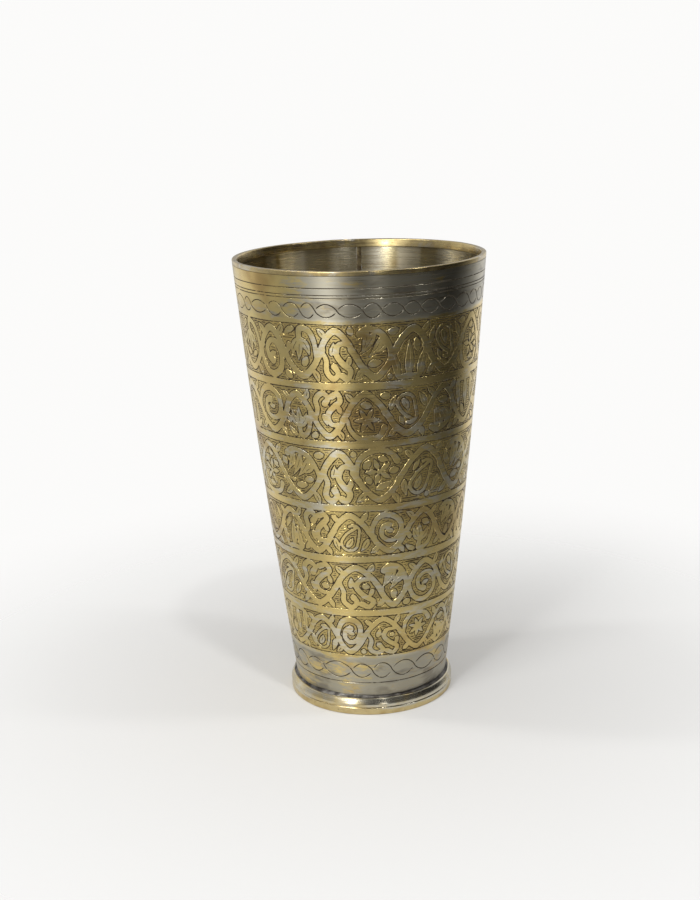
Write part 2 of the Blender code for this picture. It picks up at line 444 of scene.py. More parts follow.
def thinned(run, closed, tolerance=0.028, longest=2.2):
    """The run with points left out where it stays within tolerance of its chords."""
    if closed:
        run = np.vstack([run, run[:1]])
    keep = np.zeros(len(run), bool)
    keep[0] = keep[-1] = True
    if closed:
        keep[len(run) // 2] = True
    marks = np.nonzero(keep)[0]
    todo = list(zip(marks[:-1], marks[1:]))
    while todo:
        a, b = todo.pop()
        if b - a < 2:
            continue
        chord = run[b] - run[a]
        size = math.hypot(*chord)
        off = run[a + 1 : b] - run[a]
        if size < 1e-9:
            gap = np.hypot(off[:, 0], off[:, 1])
        else:
            gap = np.abs(off[:, 0] * chord[1] - off[:, 1] * chord[0]) / size
        if gap.max() > tolerance or size > longest:
            middle = a + 1 + (int(gap.argmax()) if gap.max() > tolerance else (b - a) // 2)
            keep[middle] = True
            todo += [(a, middle), (middle, b)]
    slim = run[keep]
    return slim[:-1] if closed else slim


# ---------------------------------------------------------------- one zone of the wall


class Zone:
    """Points and lines of a stretch of the wall, to be triangulated flat. Each point has its height over
    the wall, how dark its patina is, and whether it is on the raised ornament."""

    def __init__(self, low, high):
        self.low, self.high = low, high
        self.radius = wall_outside((low + high) / 2)
        self.width = (2 * math.pi - 2 * WALL_HALF_GAP) * self.radius
        self.points, self.values, self.edges = [], [], []

    def run(self, points, height, patina, relief, closed=False):
        """A line of points. Height, patina and relief are numbers, or lists with one for each point."""
        first, count = len(self.points), len(points)
        values = [v if hasattr(v, "__len__") else [v] * count for v in (height, patina, relief)]
        self.points += [(float(x), float(y)) for x, y in points]
        self.values += list(zip(*values))
        self.edges += [(first + i, first + i + 1) for i in range(count - 1)]
        if closed:
            self.edges.append((first + count - 1, first))

    def scatter(self, points, height, patina, relief):
        self.points += [(float(x), float(y)) for x, y in points]
        self.values += [(height, patina, relief)] * len(points)

    def cut(self, path, half_width, depth, base=0.0, around=0.0, relief=1.0, tips=(True, True), dark=1.0):
        """One graver stroke along a path: a V with a shoulder line on each side, closed at its tips."""
        path = np.asarray(path, float)
        lean = np.gradient(path, axis=0)
        normal = np.column_stack([-lean[:, 1], lean[:, 0]]) / np.hypot(lean[:, 0], lean[:, 1])[:, None]
        inner = slice(1 if tips[0] else 0, -1 if tips[1] else None)
        depths = np.full(len(path), -base - depth)
        shades = np.full(len(path), dark)
        for end, closes in ((0, tips[0]), (-1, tips[1])):
            if closes:
                depths[end], shades[end] = -base, around
        self.run(path, list(depths), list(shades), relief)
        first = len(self.points) - len(path)
        for side in (1, -1):
            shoulder = path[inner] + side * half_width * normal[inner]
            # A cut that runs off the sheet ends exactly on its edge.
            for end, closes in ((0, tips[0]), (-1, tips[1])):
                if not closes:
                    shoulder[end, 0] = path[end, 0]
            start = len(self.points)
            self.run(shoulder, -base, around, relief)
            if tips[0]:
                self.edges.append((first, start))
            if tips[1]:
                self.edges.append((first + len(path) - 1, len(self.points) - 1))

    def frame_points(self):
        """The zone's border at the bottom and top, with the same columns as its neighbours."""
        columns = np.linspace(0, self.width, COLUMNS + 1)
        self.run([(x, self.low) for x in columns], 0, 0, 1)
        self.run([(x, self.high) for x in columns], 0, 0, 1)

    def triangles(self):
        """Points, values and faces of the flat triangulation."""
        self.frame_points()
        verts, _, faces, origin, _, _ = delaunay_2d_cdt(
            [Vector(p) for p in self.points], self.edges, [], 0, 1e-5
        )
        flat = np.array([tuple(v) for v in verts])
        values = np.zeros((len(flat), 3))
        made = []
        for k, sources in enumerate(origin):
            if sources:
                found = [self.values[s] for s in sources]
                values[k] = min(found, key=lambda v: v[0])
            else:
                made.append(k)
        return flat, values, np.array(faces), made


def groove_profile(field_value):
    """Height, patina and relief across an outline groove, from the distance field."""
    s = np.asarray(field_value, float)
    half = GROOVE_WIDTH / 2
    height = np.interp(s, [0, half, 2 * half], [0, -GROOVE_DEPTH, -GROUND_DEPTH])
    patina = np.interp(s, [-0.5, 0, half, 2 * half, 1.5], [0, 0.26, 1, 0.4, 0.4])
    return np.column_stack([height, patina, (s < half).astype(float)])


def hatch(zone, field, rng):
    """Short level graver strokes over the ground, broken where the ornament stands."""
    clear = GROOVE_WIDTH + 0.03
    rows = np.arange(field.low + 1.9, field.high - 1.7, HATCH_SPACING)
    for row in rows:
        y = row + rng.uniform(-0.12, 0.12)
        x = np.arange(0.35, zone.width - 0.35, 0.1)
        free = field.at(x, np.full_like(x, y)) > clear
        free &= field.at(x, np.full_like(x, y + 0.2)) > clear - 0.02
        free &= field.at(x, np.full_like(x, y - 0.2)) > clear - 0.02
        bounds = np.nonzero(np.diff(np.concatenate([[0], free.astype(int), [0]])))[0]
        for start, stop in zip(bounds[::2], bounds[1::2]):
            left, right = x[start], x[stop - 1]
            while right - left > 0.6:
                length = min(right - left, rng.uniform(5.0, 9.0))
                if right - left - length < 0.9:
                    length = right - left
                drift = rng.uniform(-0.05, 0.05)
                stops = (0, 0.5, 1) if length < 1.9 else (0, 0.6 / length, 1 - 0.6 / length, 1)
                path = [(left + t * length, y + t * drift) for t in stops]
                zone.cut(path, rng.uniform(0.19, 0.23), HATCH_DEPTH * rng.uniform(0.8, 1.05) - GROUND_DEPTH,
                         base=GROUND_DEPTH, around=0.4, relief=0.0)
                left += length + rng.uniform(0.18, 0.3)


def cut_veins(zone, field, veins, rng):
    """A vein down each broad leaf, where the leaf is really there."""
    for vein in veins:
        inside = field.at(vein[:, 0], vein[:, 1]) < -0.42
        on_sheet = (vein[:, 0] > 0.6) & (vein[:, 0] < zone.width - 0.6)
        if (inside & on_sheet).all() and len(vein) > 2:
            zone.cut(vein[:, :2], 0.13, 0.09, around=0.3, dark=rng.uniform(0.8, 1.0))


def scatter_flat(zone, field):
    """Points over the bare metal, so that its triangles follow the tumbler's round."""
    xs = np.linspace(0, zone.width, COLUMNS + 1)[1:-1]
    ys = np.linspace(zone.low, zone.high, max(int((zone.high - zone.low) / 2.2), 2) + 1)[1:-1]
    gx, gy = np.meshgrid(xs, ys, indexing="ij")
    gx, gy = gx.ravel(), gy.ravel()
    on_top = field.at(gx, gy) < -0.3
    zone.scatter(np.column_stack([gx, gy])[on_top], 0, 0, 1)


def ornament_zone(low, high, band, seed):
    """A zone with one engraved band between two plain strips."""
    zone = Zone(low, high)
    field, veins, rng = vine_band(zone.width, *band, seed)
    for level in (0, GROOVE_WIDTH / 2, GROOVE_WIDTH):
        height, patina, relief = groove_profile([level])[0]
        if level == GROOVE_WIDTH / 2:
            relief = 0.5
        for run, closed in chains(*crossings(field, level)):
            if len(run) < 6:
                continue
            slim = thinned(run, closed)
            if len(slim) > 3 or not closed:
                zone.run(slim, height, patina, relief, closed)
    hatch(zone, field, rng)
    cut_veins(zone, field, veins, rng)
    scatter_flat(zone, field)
    flat, values, faces, made = zone.triangles()
    if made:
        values[made] = groove_profile(field.at(flat[made, 0], flat[made, 1]))
    return zone, flat, values, faces


def braid(zone, low, high, link, rng):
    """Two strands that wind over and under each other, each cut from one under-crossing to the next."""
    middle, swing = (low + high) / 2, (high - low) / 2
    links = int(round(zone.width / link))
    ends = np.linspace(0, zone.width, links + 1)
    ends[1:-1] += rng.uniform(-0.16, 0.16, links - 1) * link
    heights = rng.uniform(0.9, 1.08, links) * swing
    for k in range(links - 1):
        left, cross, right = ends[k], ends[k + 1], ends[k + 2]
        x = np.linspace(max(left + 0.035 * link, 0.5), min(right - 0.05 * link, zone.width - 0.5), 25)
        first = x <= cross
        phase = np.where(first, (x - left) / (cross - left), (x - cross) / (right - cross))
        swell = np.sin(np.pi * np.clip(phase, 0, 1)) ** 0.72
        y = np.where(first, heights[k], -heights[k + 1]) * swell
        zone.cut(np.column_stack([x, middle + y]), 0.23, 0.15, around=0.3)


def turned_line(zone, height, half_width, depth, rng):
    """A line scribed right round the wall on the lathe, a little unsteady."""
    x = np.linspace(0, zone.width, COLUMNS + 1)
    wander = 0.035 * np.sin(x * 0.09 + rng.uniform(0, 6)) + 0.02 * np.sin(x * 0.31 + rng.uniform(0, 6))
    zone.cut(np.column_stack([x, height + wander]), half_width, depth, around=0.3, tips=(False, False))


def plain_zone(low, high, braid_at, link, lines, seed):
    """A zone of bare metal with a braid and turned lines."""
    zone, rng = Zone(low, high), np.random.default_rng(seed)
    braid(zone, *braid_at, link, rng)
    for height in lines:
        turned_line(zone, height, 0.21, 0.15, rng)
    xs = np.linspace(0, zone.width, COLUMNS + 1)[1:-1]
    rows = [y for y in np.linspace(low, high, 11)[1:-1] if all(abs(y - h) > 0.6 for h in lines)]
    for y in rows:
        if not braid_at[0] - 0.5 < y < braid_at[1] + 0.5:
            zone.scatter([(x, y) for x in xs], 0, 0, 1)
    flat, values, faces, made = zone.triangles()
    values[made] = (-0.13, 1, 1)
    return zone, flat, values, faces


# ---------------------------------------------------------------- meshes


def shell_point(angle, z, out):
    """Points on the sheet at out millimetres from its outer face."""
    radius = wall_outside(z) + hand_made(angle, z) + out
    return np.column_stack([radius * np.cos(angle), radius * np.sin(angle), z])


def shell_normal(angle, z):
    """The smooth normal of the sheet's outer face."""
    step = 1e-3
    round_it = shell_point(angle + step, z, 0) - shell_point(angle - step, z, 0)
    up_it = shell_point(angle, z + step, 0) - shell_point(angle, z - step, 0)
    normal = np.cross(round_it, up_it)
    return normal / np.linalg.norm(normal, axis=1)[:, None]


def new_object(name, verts_mm, faces, material):
    data = bpy.data.meshes.new(name)
    data.from_pydata((np.asarray(verts_mm) * MM).tolist(), [], faces)
    data.materials.append(material)
    obj = bpy.data.objects.new(name, data)
    bpy.context.scene.collection.objects.link(obj)
    return obj


def make_wall(material):
    """The engraved wall: outer face by zones, inner face, top and bottom edges, and the seam's two ends."""
    edges = [21.7] + [(a[1] + b[0]) / 2 for a, b in zip(BANDS[:-1], BANDS[1:])] + [148.6]
    zones = [plain_zone(WALL_BOTTOM, edges[0], LOWER_BRAID, 8.4, TURNED_LINES[:1], 5)]
    for k, band in enumerate(BANDS):
        zones.append(ornament_zone(edges[k], edges[k + 1], band, 21 + k))
    zones.append(plain_zone(edges[-1], WALL_TOP, UPPER_BRAID, 7.3, TURNED_LINES[1:], 6))
    angles, zs, values, faces = [], [], [], []
    count = 0
    for zone, flat, value, tris in zones:
        angles.append(SEAM_AT + WALL_HALF_GAP + flat[:, 0] / zone.radius)
        zs.append(flat[:, 1])
        values.append(value)
        faces.append(tris + count)
        count += len(flat)
    angle, z, value = np.concatenate(angles), np.concatenate(zs), np.concatenate(values)
    tris = np.concatenate(faces)
    # One vertex where two zones meet, found by its column. Nothing else is welded.
    span = 2 * math.pi - 2 * WALL_HALF_GAP
    column = np.rint((angle - SEAM_AT - WALL_HALF_GAP) / span * COLUMNS)
    gap = np.abs(z[:, None] - np.array(edges)[None, :])
    shared = gap.min(axis=1) < 1e-4
    key = np.column_stack([
        np.where(shared, column, -1),
        np.where(shared, gap.argmin(axis=1), -1),
        np.where(shared, -1, np.arange(len(z))),
    ])
    _, first, back = np.unique(key, axis=0, return_index=True, return_inverse=True)
    angle, z, value, tris = angle[first], z[first], value[first], back.reshape(-1)[tris]
    whole = (tris[:, 0] != tris[:, 1]) & (tris[:, 1] != tris[:, 2]) & (tris[:, 0] != tris[:, 2])
    tris = tris[whole]
    outer = shell_point(angle, z, value[:, 0])

    columns = np.linspace(SEAM_AT + WALL_HALF_GAP, SEAM_AT + 2 * math.pi - WALL_HALF_GAP, COLUMNS + 1)
    rows = np.linspace(WALL_BOTTOM, WALL_TOP, 33)
    ia, iz = (g.ravel() for g in np.meshgrid(columns, rows, indexing="ij"))
    inner = shell_point(ia, iz, -WALL_THICKNESS)
    base = len(outer)

    def inner_at(i, j):
        return base + i * len(rows) + j

    quads = [
        (inner_at(i, j), inner_at(i, j + 1), inner_at(i + 1, j + 1), inner_at(i + 1, j))
        for i in range(COLUMNS)
        for j in range(len(rows) - 1)
    ]

    near = 1e-4
    low_edge = np.flatnonzero(np.abs(z - WALL_BOTTOM) < near)
    high_edge = np.flatnonzero(np.abs(z - WALL_TOP) < near)
    low_edge = low_edge[np.argsort(angle[low_edge])]
    high_edge = high_edge[np.argsort(angle[high_edge])]
    last = len(rows) - 1
    for i in range(COLUMNS):
        quads.append((low_edge[i], inner_at(i, 0), inner_at(i + 1, 0), low_edge[i + 1]))
        quads.append((high_edge[i], high_edge[i + 1], inner_at(i + 1, last), inner_at(i, last)))
    start = np.flatnonzero(angle < columns[0] + near)
    stop = np.flatnonzero(angle > columns[-1] - near)
    start, stop = start[np.argsort(z[start])], stop[np.argsort(z[stop])]
    ends = [
        list(start) + [inner_at(0, j) for j in range(last, -1, -1)],
        list(stop[::-1]) + [inner_at(COLUMNS, j) for j in range(last + 1)],
    ]
    polygons = tris.tolist() + [tuple(int(v) for v in q) for q in quads] + [
        tuple(int(v) for v in e) for e in ends
    ]
    wall = new_object("engraved_wall", np.vstack([outer, inner]), polygons, material)
    mesh = wall.data

    for name, column in (("patina", 1), ("relief", 2)):
        full = np.concatenate([value[:, column], np.full(len(inner), -1.0)]).astype(np.float32)
        mesh.attributes.new(name, "FLOAT", "POINT").data.foreach_set("value", full)

    # Bare metal takes the sheet's smooth normal, and the walls of the cuts keep their own.
    level = value[:, 0][tris]
    flat_faces = np.ptp(level, axis=1) < 1e-6
    smooth = shell_normal(angle, z)
    corner = outer[tris]
    facet = np.cross(corner[:, 1] - corner[:, 0], corner[:, 2] - corner[:, 0])
    facet /= np.maximum(np.linalg.norm(facet, axis=1), 1e-12)[:, None]
    loops = np.where(flat_faces[:, None, None], smooth[tris], facet[:, None, :])
    inner_normal = -shell_normal(ia, iz)
    rest = []
    for q in quads:
        if min(q) >= base:
            rest += [inner_normal[v - base] for v in q]
        else:
            up = 1.0 if z[q[0]] > HEIGHT / 2 else -1.0
            rest += [(0.0, 0.0, up)] * len(q)
    for end, side in zip(ends, (1, -1)):
        a = columns[0] if side == 1 else columns[-1]
        rest += [(side * math.sin(a), -side * math.cos(a), 0.0)] * len(end)
    mesh.normals_split_custom_set(np.vstack([loops.reshape(-1, 3), np.array(rest)]).tolist())
    return wall


def turned(name, profile, material, columns=192, wobble=None, start=0.0, sweep=2 * math.pi, sharp=32):
    """A closed outline of (r, z), in millimetres, turned round the axis, with an uneven hand in wobble."""
    whole = sweep > 6.28
    angles = start + np.linspace(0, sweep, columns + 1)[: columns if whole else columns + 1]
    outline = np.array(profile, float)
    verts = []
    for a in angles:
        r, z = outline[:, 0].copy(), outline[:, 1].copy()
        if wobble is not None:
            dr, dz = wobble(a, r, z)
            r, z = r + dr, z + dz
        verts.append(np.column_stack([r * math.cos(a), r * math.sin(a), z]))
    n, m = len(outline), len(angles)
    faces = []
    for i in range(m if whole else m - 1):
        for j in range(n):
            k, right = (j + 1) % n, (i + 1) % m
            faces.append((i * n + j, right * n + j, right * n + k, i * n + k))
    if not whole:
        faces += [tuple(range(n))[::-1], tuple((m - 1) * n + j for j in range(n))]
    piece = new_object(name, np.vstack(verts), faces, material)
    mesh = bmesh.new()
    mesh.from_mesh(piece.data)
    bmesh.ops.remove_doubles(mesh, verts=mesh.verts, dist=2e-6)
    bmesh.ops.recalc_face_normals(mesh, faces=mesh.faces)
    mesh.to_mesh(piece.data)
    mesh.free()
    piece.data.shade_smooth()
    piece.data.set_sharp_from_angle(angle=math.radians(sharp))
    return piece


def rounded(points, radii, steps=4):
    """The outline with its corners rounded by the given radii."""
    out = []
    p = [np.array(q, float) for q in points]
    for k, (corner, radius) in enumerate(zip(p, radii)):
        before, after = p[k - 1] - corner, p[(k + 1) % len(p)] - corner
        reach = min(radius, 0.45 * np.linalg.norm(before), 0.45 * np.linalg.norm(after))
        if reach <= 0:
            out.append(corner)
            continue
        a = corner + before / np.linalg.norm(before) * reach
        b = corner + after / np.linalg.norm(after) * reach
        for t in np.linspace(0, 1, steps + 1):
            out.append((1 - t) ** 2 * a + 2 * t * (1 - t) * corner + t * t * b)
    return out


# ---------------------------------------------------------------- materials


def new_material(name):
    material = bpy.data.materials.new(name)
    material.use_nodes = True
    return material


class Nodes:
    """A small helper that adds and links shader nodes in a tree."""

    def __init__(self, tree):
        self.tree = tree

    def add(self, kind, inputs=None, **settings):
        node = self.tree.nodes.new(kind)
        for key, value in settings.items():
            setattr(node, key, value)
        for key, value in (inputs or {}).items():
            socket = node.inputs[key]
            if isinstance(value, bpy.types.NodeSocket):
                self.tree.links.new(value, socket)
            else:
                socket.default_value = value
        return node

    def math(self, operation, a, b=0.0, clamp=False):
        return self.add("ShaderNodeMath", {0: a, 1: b}, operation=operation, use_clamp=clamp).outputs[0]

    def choose(self, share, low, high):
        """Between two numbers by share."""
        return self.add("ShaderNodeMix", {0: share, 2: low, 3: high}).outputs[0]

    def ramp(self, value, low, high, to_low=0.0, to_high=1.0):
        """value from low to high, eased into to_low to to_high."""
        return self.add(
            "ShaderNodeMapRange",
            {"Value": value, "From Min": low, "From Max": high, "To Min": to_low, "To Max": to_high},
            interpolation_type="SMOOTHSTEP",
        ).outputs["Result"]

    def noise(self, vector, scale, detail=3.0, rough=0.55, distortion=0.0):
        return self.add(
            "ShaderNodeTexNoise",
            {
                "Vector": vector, "Scale": scale, "Detail": detail,
                "Roughness": rough, "Distortion": distortion,
            },
        ).outputs["Fac"]

    def stretched(self, vector, factors):
        return self.add("ShaderNodeMapping", {"Vector": vector, "Scale": factors}).outputs["Vector"]

    def mix(self, share, a, b, blend="MIX"):
        node = self.add("ShaderNodeMix", {"Factor": share}, data_type="RGBA", blend_type=blend)
        for index, value in ((6, a), (7, b)):
            if isinstance(value, bpy.types.NodeSocket):
                self.tree.links.new(value, node.inputs[index])
            else:
                node.inputs[index].default_value = (*value, 1)
        return node.outputs[2]

    def attribute(self, name):
        return self.add("ShaderNodeAttribute", attribute_name=name).outputs["Fac"]


BRASS_LIGHT = (0.66, 0.51, 0.205)
BRASS_GROUND = (0.63, 0.485, 0.18)
BRASS_DEEP = (0.42, 0.32, 0.135)
BRASS_OLIVE = (0.53, 0.435, 0.195)
TIN = (0.58, 0.545, 0.44)
# Tin of the plain zones, darker than the bands' tin: a painted dark reflection.
TIN_DIMMED_PAINTED_DARK_REFLECTION = (0.39, 0.37, 0.305)
TIN_TARNISHED = (0.20, 0.185, 0.16)
BROWN = (0.36, 0.235, 0.085)
PATINA = (0.045, 0.031, 0.015)

# Colours of the inside. The clean one makes the bright painted-reflection streaks, and the two stained ones
# make the dark painted-reflection streaks as well as real stains.
LINING_CLEAN_AND_SHEEN = (0.70, 0.655, 0.53)
LINING_STAIN_DARK_REFLECTION = (0.36, 0.31, 0.18)
LINING_DARK_STAIN_REFLECTION = (0.22, 0.16, 0.07)
HOOP_FRESH, HOOP_DEEP = (0.54, 0.43, 0.21), (0.32, 0.23, 0.10)
FOOT_FRESH, FOOT_DEEP = (0.60, 0.49, 0.26), (0.48, 0.36, 0.16)
BRAZE_FRESH, BRAZE_DEEP = (0.34, 0.28, 0.16), (0.12, 0.09, 0.05)
SOLDER_DARK, SOLDER_PALE, FLUX = (0.05, 0.045, 0.04), (0.20, 0.19, 0.17), (0.05, 0.04, 0.03)

# Where the tin is rubbed off the outside near the mouth, and the distances over which that fades, in metres.
HELD_AT = (-0.037, -0.026, 0.161)
HELD_FAR, HELD_NEAR = 0.034, 0.012

# Moves the pattern of brown stains about on the wall.
STAIN_SHIFT = (0.013, 0.004, 0.0)

# A quarter turn of the anisotropy, so that the long axis of a highlight is the tumbler's own.
BRUSH_TURN = 0.25


def round_marks(nodes, place):
    """Fine marks that run round the axis, from the lathe and from scouring."""
    fine = nodes.noise(nodes.stretched(place, (60, 60, 9000)), 1.0, 3.0, 0.6)
    broad = nodes.noise(nodes.stretched(place, (40, 40, 2200)), 1.0, 2.0, 0.5)
    return nodes.math("ADD", nodes.math("MULTIPLY", fine, 0.6), nodes.math("MULTIPLY", broad, 0.4))


def finish_metal(material, nodes, colour, roughness, bump_height, distance, metallic=None, brushing=0.0):
    """Links the shader. Brushing round the axis draws highlights out along it."""
    shader, link = material.node_tree.nodes["Principled BSDF"], nodes.tree.links.new
    if brushing:
        tangent = nodes.add("ShaderNodeTangent", direction_type="RADIAL", axis="Z").outputs[0]
        link(tangent, shader.inputs["Tangent"])
        shader.inputs["Anisotropic"].default_value = brushing
        shader.inputs["Anisotropic Rotation"].default_value = BRUSH_TURN
    link(colour, shader.inputs["Base Color"])
    link(roughness, shader.inputs["Roughness"])
    if metallic is None:
        shader.inputs["Metallic"].default_value = 1.0
    else:
        link(metallic, shader.inputs["Metallic"])
    bump = nodes.add("ShaderNodeBump", {"Height": bump_height, "Distance": distance, "Strength": 1.0})
    link(bump.outputs[0], shader.inputs["Normal"])
    return material


# Degrees from the seam, and how clean and bright the lining is there: broad streaks down it that are painted
# reflections, bright and dark, with some real tarnish in them.
LINING_STREAKS_PAINTED_SHEEN = (
    (-180, 0.5), (-62, 0.3), (-45, 0.2), (-41, 1.0), (-31, 1.0), (-27, 0.1), (-17, 0.0), (-11, 0.9),
    (7, 0.8), (12, 0.45), (20, 0.15), (39, 0.1), (47, 0.85), (66, 0.5), (180, 0.5),
)


def round_the_axis(nodes, x, y, stops, peak):
    """A level that changes with the direction (x, y), from pairs of degrees and level."""
    angle = nodes.math("ARCTAN2", x, y)
    share = nodes.math("ADD", nodes.math("DIVIDE", angle, 2 * math.pi), 0.5)
    node = nodes.add("ShaderNodeValToRGB", {0: share})
    ramp = node.color_ramp
    ramp.interpolation = "EASE"
    while len(ramp.elements) < len(stops):
        ramp.elements.new(0.5)
    for point, (degrees, level) in zip(ramp.elements, stops):
        point.position = degrees / 360 + 0.5
        point.color = (level / peak, level / peak, level / peak, 1)
    return node.outputs["Color"]


def wall_material():
    """Brass with what is left of its tin: thick at the mouth and foot, a trace on the ornament."""
    material = new_material("tinned_brass_engraved")
    nodes = Nodes(material.node_tree)
    place = nodes.add("ShaderNodeTexCoord").outputs["Object"]
    height = nodes.add("ShaderNodeSeparateXYZ", {0: place}).outputs["Z"]
    patina, relief = nodes.attribute("patina"), nodes.attribute("relief")

    cloud = nodes.noise(nodes.stretched(place, (1, 1, 1.7)), 38.0, 4.0, 0.6, 0.4)
    blotch = nodes.noise(nodes.stretched(place, (1, 1, 2.6)), 95.0, 4.0, 0.65)
    speck = nodes.noise(place, 900.0, 2.0)
    marks = round_marks(nodes, place)

    # Share of tin: by height, then broken up by wear.
    top = nodes.ramp(height, 0.1475, 0.1495)
    bottom = nodes.ramp(height, 0.0235, 0.0212)
    plain = nodes.math("MAXIMUM", top, nodes.math("MULTIPLY", bottom, 0.60))
    held = nodes.add("ShaderNodeVectorMath", {0: place, 1: HELD_AT}, operation="DISTANCE")
    held = nodes.ramp(held.outputs["Value"], HELD_FAR, HELD_NEAR, 0.0, 0.24)
    share = nodes.math("ADD", nodes.math("MULTIPLY", plain, 0.18), nodes.math("MULTIPLY", relief, 0.075))
    share = nodes.math("SUBTRACT", share, held)
    wear = nodes.noise(nodes.stretched(place, (1, 1, 3.5)), 150.0, 4.0, 0.7, 0.3)
    worn = nodes.math("ADD", nodes.math("MULTIPLY", cloud, 0.5), nodes.math("MULTIPLY", wear, 0.5))
    tin = nodes.ramp(nodes.math("ADD", worn, share), 0.56, 0.70)
    tin = nodes.math("MULTIPLY", tin, nodes.ramp(marks, 0.30, 0.62, 0.72, 1.0))

    tone = nodes.mix(nodes.ramp(cloud, 0.35, 0.65), BRASS_LIGHT, BRASS_OLIVE)
    ground = nodes.mix(nodes.ramp(blotch, 0.38, 0.66), BRASS_GROUND, BRASS_DEEP)
    brass = nodes.mix(nodes.ramp(relief, 0.2, 0.8), ground, tone)
    brass = nodes.mix(nodes.ramp(speck, 0.60, 0.74, 0, 0.35), brass, BRASS_DEEP)
    moved = nodes.add("ShaderNodeMapping", {"Vector": place, "Location": STAIN_SHIFT}).outputs["Vector"]
    handled = nodes.noise(moved, 30.0, 3.0, 0.6, 0.5)
    brass = nodes.mix(nodes.ramp(handled, 0.50, 0.66, 0.0, 0.75), brass, BROWN)
    # In the plain zones the tin is dimmed, a painted dark reflection, with real tarnish patches on it.
    tarnish = nodes.noise(nodes.stretched(place, (1, 1, 2.2)), 78.0, 3.0, 0.55, 0.3)
    tarnished_tin_painted_dim = nodes.mix(nodes.ramp(tarnish, 0.54, 0.66, 0.0, 0.7), TIN_DIMMED_PAINTED_DARK_REFLECTION, TIN_TARNISHED)
    metal = nodes.mix(tin, brass, nodes.mix(nodes.math("MAXIMUM", top, bottom), TIN, tarnished_tin_painted_dim))
    dirt = nodes.ramp(patina, 0.33, 0.62)
    rubbed = nodes.ramp(nodes.noise(place, 520.0, 2.0, 0.5), 0.585, 0.66)
    dirt = nodes.math("MULTIPLY", dirt, nodes.ramp(rubbed, 0.0, 1.0, 1.0, 0.1))
    # The inside: stains, with bright and dark streaks by angle round the axis and by noise drawn out up the
    # wall. These streaks are painted reflections, partly real tarnish and wiping.
    inside = nodes.ramp(relief, -0.2, -0.8)
    wiped = nodes.noise(nodes.stretched(place, (1, 1, 0.04)), 62.0, 2.0, 0.5)
    stain_and_painted_dark = nodes.mix(nodes.ramp(cloud, 0.35, 0.7), LINING_STAIN_DARK_REFLECTION, LINING_DARK_STAIN_REFLECTION)
    apart = nodes.add("ShaderNodeSeparateXYZ", {0: place})
    painted_sheen_streaks = round_the_axis(nodes, apart.outputs["X"], apart.outputs["Y"], LINING_STREAKS_PAINTED_SHEEN, 1.0)
    uneven = nodes.ramp(wiped, 0.44, 0.56, -0.25, 0.25)
    clean_and_painted_sheen = nodes.math("ADD", uneven, painted_sheen_streaks, clamp=True)
    lining_stain_and_painted_sheen = nodes.mix(clean_and_painted_sheen, stain_and_painted_dark, LINING_CLEAN_AND_SHEEN)
    metal = nodes.mix(inside, metal, lining_stain_and_painted_sheen)
    dirt = nodes.math("MULTIPLY", dirt, nodes.ramp(blotch, 0.30, 0.56, 0.72, 1.0), clamp=True)
    colour = nodes.mix(dirt, metal, PATINA)

    roughness = nodes.ramp(marks, 0.3, 0.7, 0.24, 0.40)
    roughness = nodes.math("ADD", roughness, nodes.math("MULTIPLY", dirt, 0.28))
    roughness = nodes.math("ADD", roughness, nodes.ramp(cloud, 0.4, 0.7, 0.0, 0.08))
    roughness = nodes.math("ADD", roughness, nodes.ramp(relief, 0.2, 0.8, -0.06, 0.0))
    bright_cut = nodes.math("MULTIPLY", nodes.math("MULTIPLY", rubbed, nodes.ramp(patina, 0.33, 0.62)), -0.10)
    roughness = nodes.math("ADD", roughness, bright_cut)
    dull = nodes.math("SUBTRACT", 1.0, nodes.math("MULTIPLY", dirt, 0.4))
    bump = nodes.math("ADD", marks, nodes.math("MULTIPLY", speck, 0.25))
    return finish_metal(material, nodes, colour, roughness, bump, 0.00002, dull, 0.7)


def plain_metal(name, fresh, deep, tin_from, tin_to, tin_share, rough, seed=0.0, strength=0.4):
    """A turned or spun brass piece, tinned between two heights in millimetres."""
    material = new_material(name)
    nodes = Nodes(material.node_tree)
    place = nodes.add("ShaderNodeTexCoord").outputs["Object"]
    moved = {"Vector": place, "Location": (seed, seed, seed)}
    shifted = nodes.add("ShaderNodeMapping", moved).outputs["Vector"]
    height = nodes.add("ShaderNodeSeparateXYZ", {0: place}).outputs["Z"]
    cloud = nodes.noise(shifted, 55.0, 4.0, 0.6, 0.3)
    blotch = nodes.noise(shifted, 240.0, 4.0, 0.6)
    speck = nodes.noise(shifted, 1300.0, 2.0)
    marks = round_marks(nodes, shifted)
    uneven = nodes.math("ADD", height, nodes.ramp(cloud, 0.3, 0.7, -0.8 * MM, 0.8 * MM))
    inside = nodes.math(
        "MULTIPLY",
        nodes.ramp(uneven, (tin_from - 0.35) * MM, (tin_from + 0.35) * MM),
        nodes.ramp(height, (tin_to + 0.3) * MM, (tin_to - 0.3) * MM),
    )
    worn = nodes.math("ADD", nodes.math("MULTIPLY", cloud, 0.5), nodes.math("MULTIPLY", blotch, 0.5))
    tin = nodes.math("MULTIPLY", inside, nodes.ramp(nodes.math("ADD", worn, tin_share), 0.5, 0.66))
    brass = nodes.mix(nodes.ramp(blotch, 0.40, 0.68), fresh, deep)
    metal = nodes.mix(tin, brass, TIN)
    pits = nodes.ramp(speck, 0.66, 0.76, 0.0, 0.7)
    colour = nodes.mix(pits, metal, PATINA)
    roughness = nodes.math("ADD", nodes.ramp(marks, 0.3, 0.7, rough - 0.07, rough + 0.09),
                           nodes.math("MULTIPLY", pits, 0.3))
    bump = nodes.math("SUBTRACT", marks, pits)
    return finish_metal(material, nodes, colour, roughness, bump, 0.00002, None, strength)


